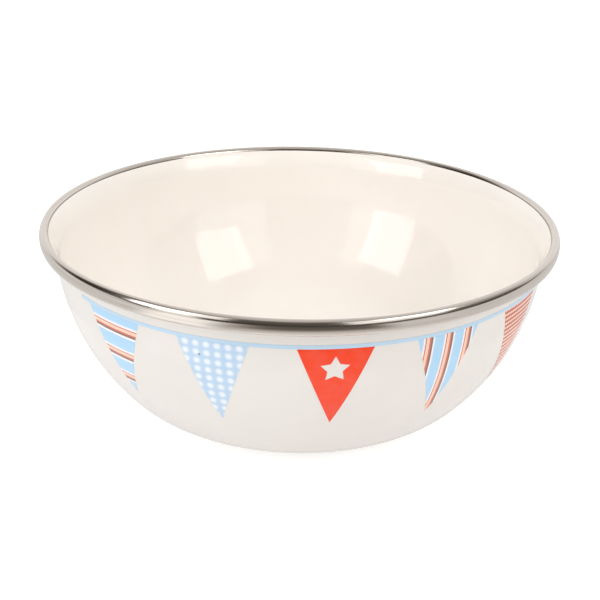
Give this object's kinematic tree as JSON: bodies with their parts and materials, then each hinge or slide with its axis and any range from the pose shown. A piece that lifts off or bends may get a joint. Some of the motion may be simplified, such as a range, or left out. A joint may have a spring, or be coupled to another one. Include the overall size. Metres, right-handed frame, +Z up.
{
  "type": "enamel basin bowl",
  "caption": "Round pressed-steel basin bowl, enamelled cream inside and white outside, with a rolled stainless rim band and a printed bunting of pennants on a tape.",
  "frame": {"origin": "centre of the base, on the plane that the bowl stands on", "axes": "+Z up along the bowl's axis; the front of the print, with the first starred flag just right of the middle, faces -Y; +X is to the right seen from the front"},
  "size_m": [0.2, 0.2, 0.072],
  "materials": {
    "pressed_steel": "bare sheet steel under the coats",
    "cream_enamel": "gloss",
    "white_enamel": "gloss",
    "stainless_band": "polished",
    "tape_print": "gloss",
    "blue_flag_print": "gloss",
    "red_flag_print": "gloss"
  },
  "bodies": {
    "root": {"steel_shell": "pressed_steel", "inner_enamel": "cream_enamel", "outer_enamel": "white_enamel", "rim_band": "stainless_band", "bunting_tape_1": "tape_print", "bunting_tape_2": "tape_print", "flag_banded_1": "blue_flag_print", "flag_dotted_1": "blue_flag_print", "flag_starred_1": "red_flag_print", "flag_striped_1": "blue_flag_print", "flag_checked_1": "red_flag_print", "flag_banded_2": "blue_flag_print", "flag_dotted_2": "blue_flag_print", "flag_starred_2": "red_flag_print", "flag_striped_2": "blue_flag_print", "flag_checked_2": "red_flag_print"}
  },
  "joints": []
}
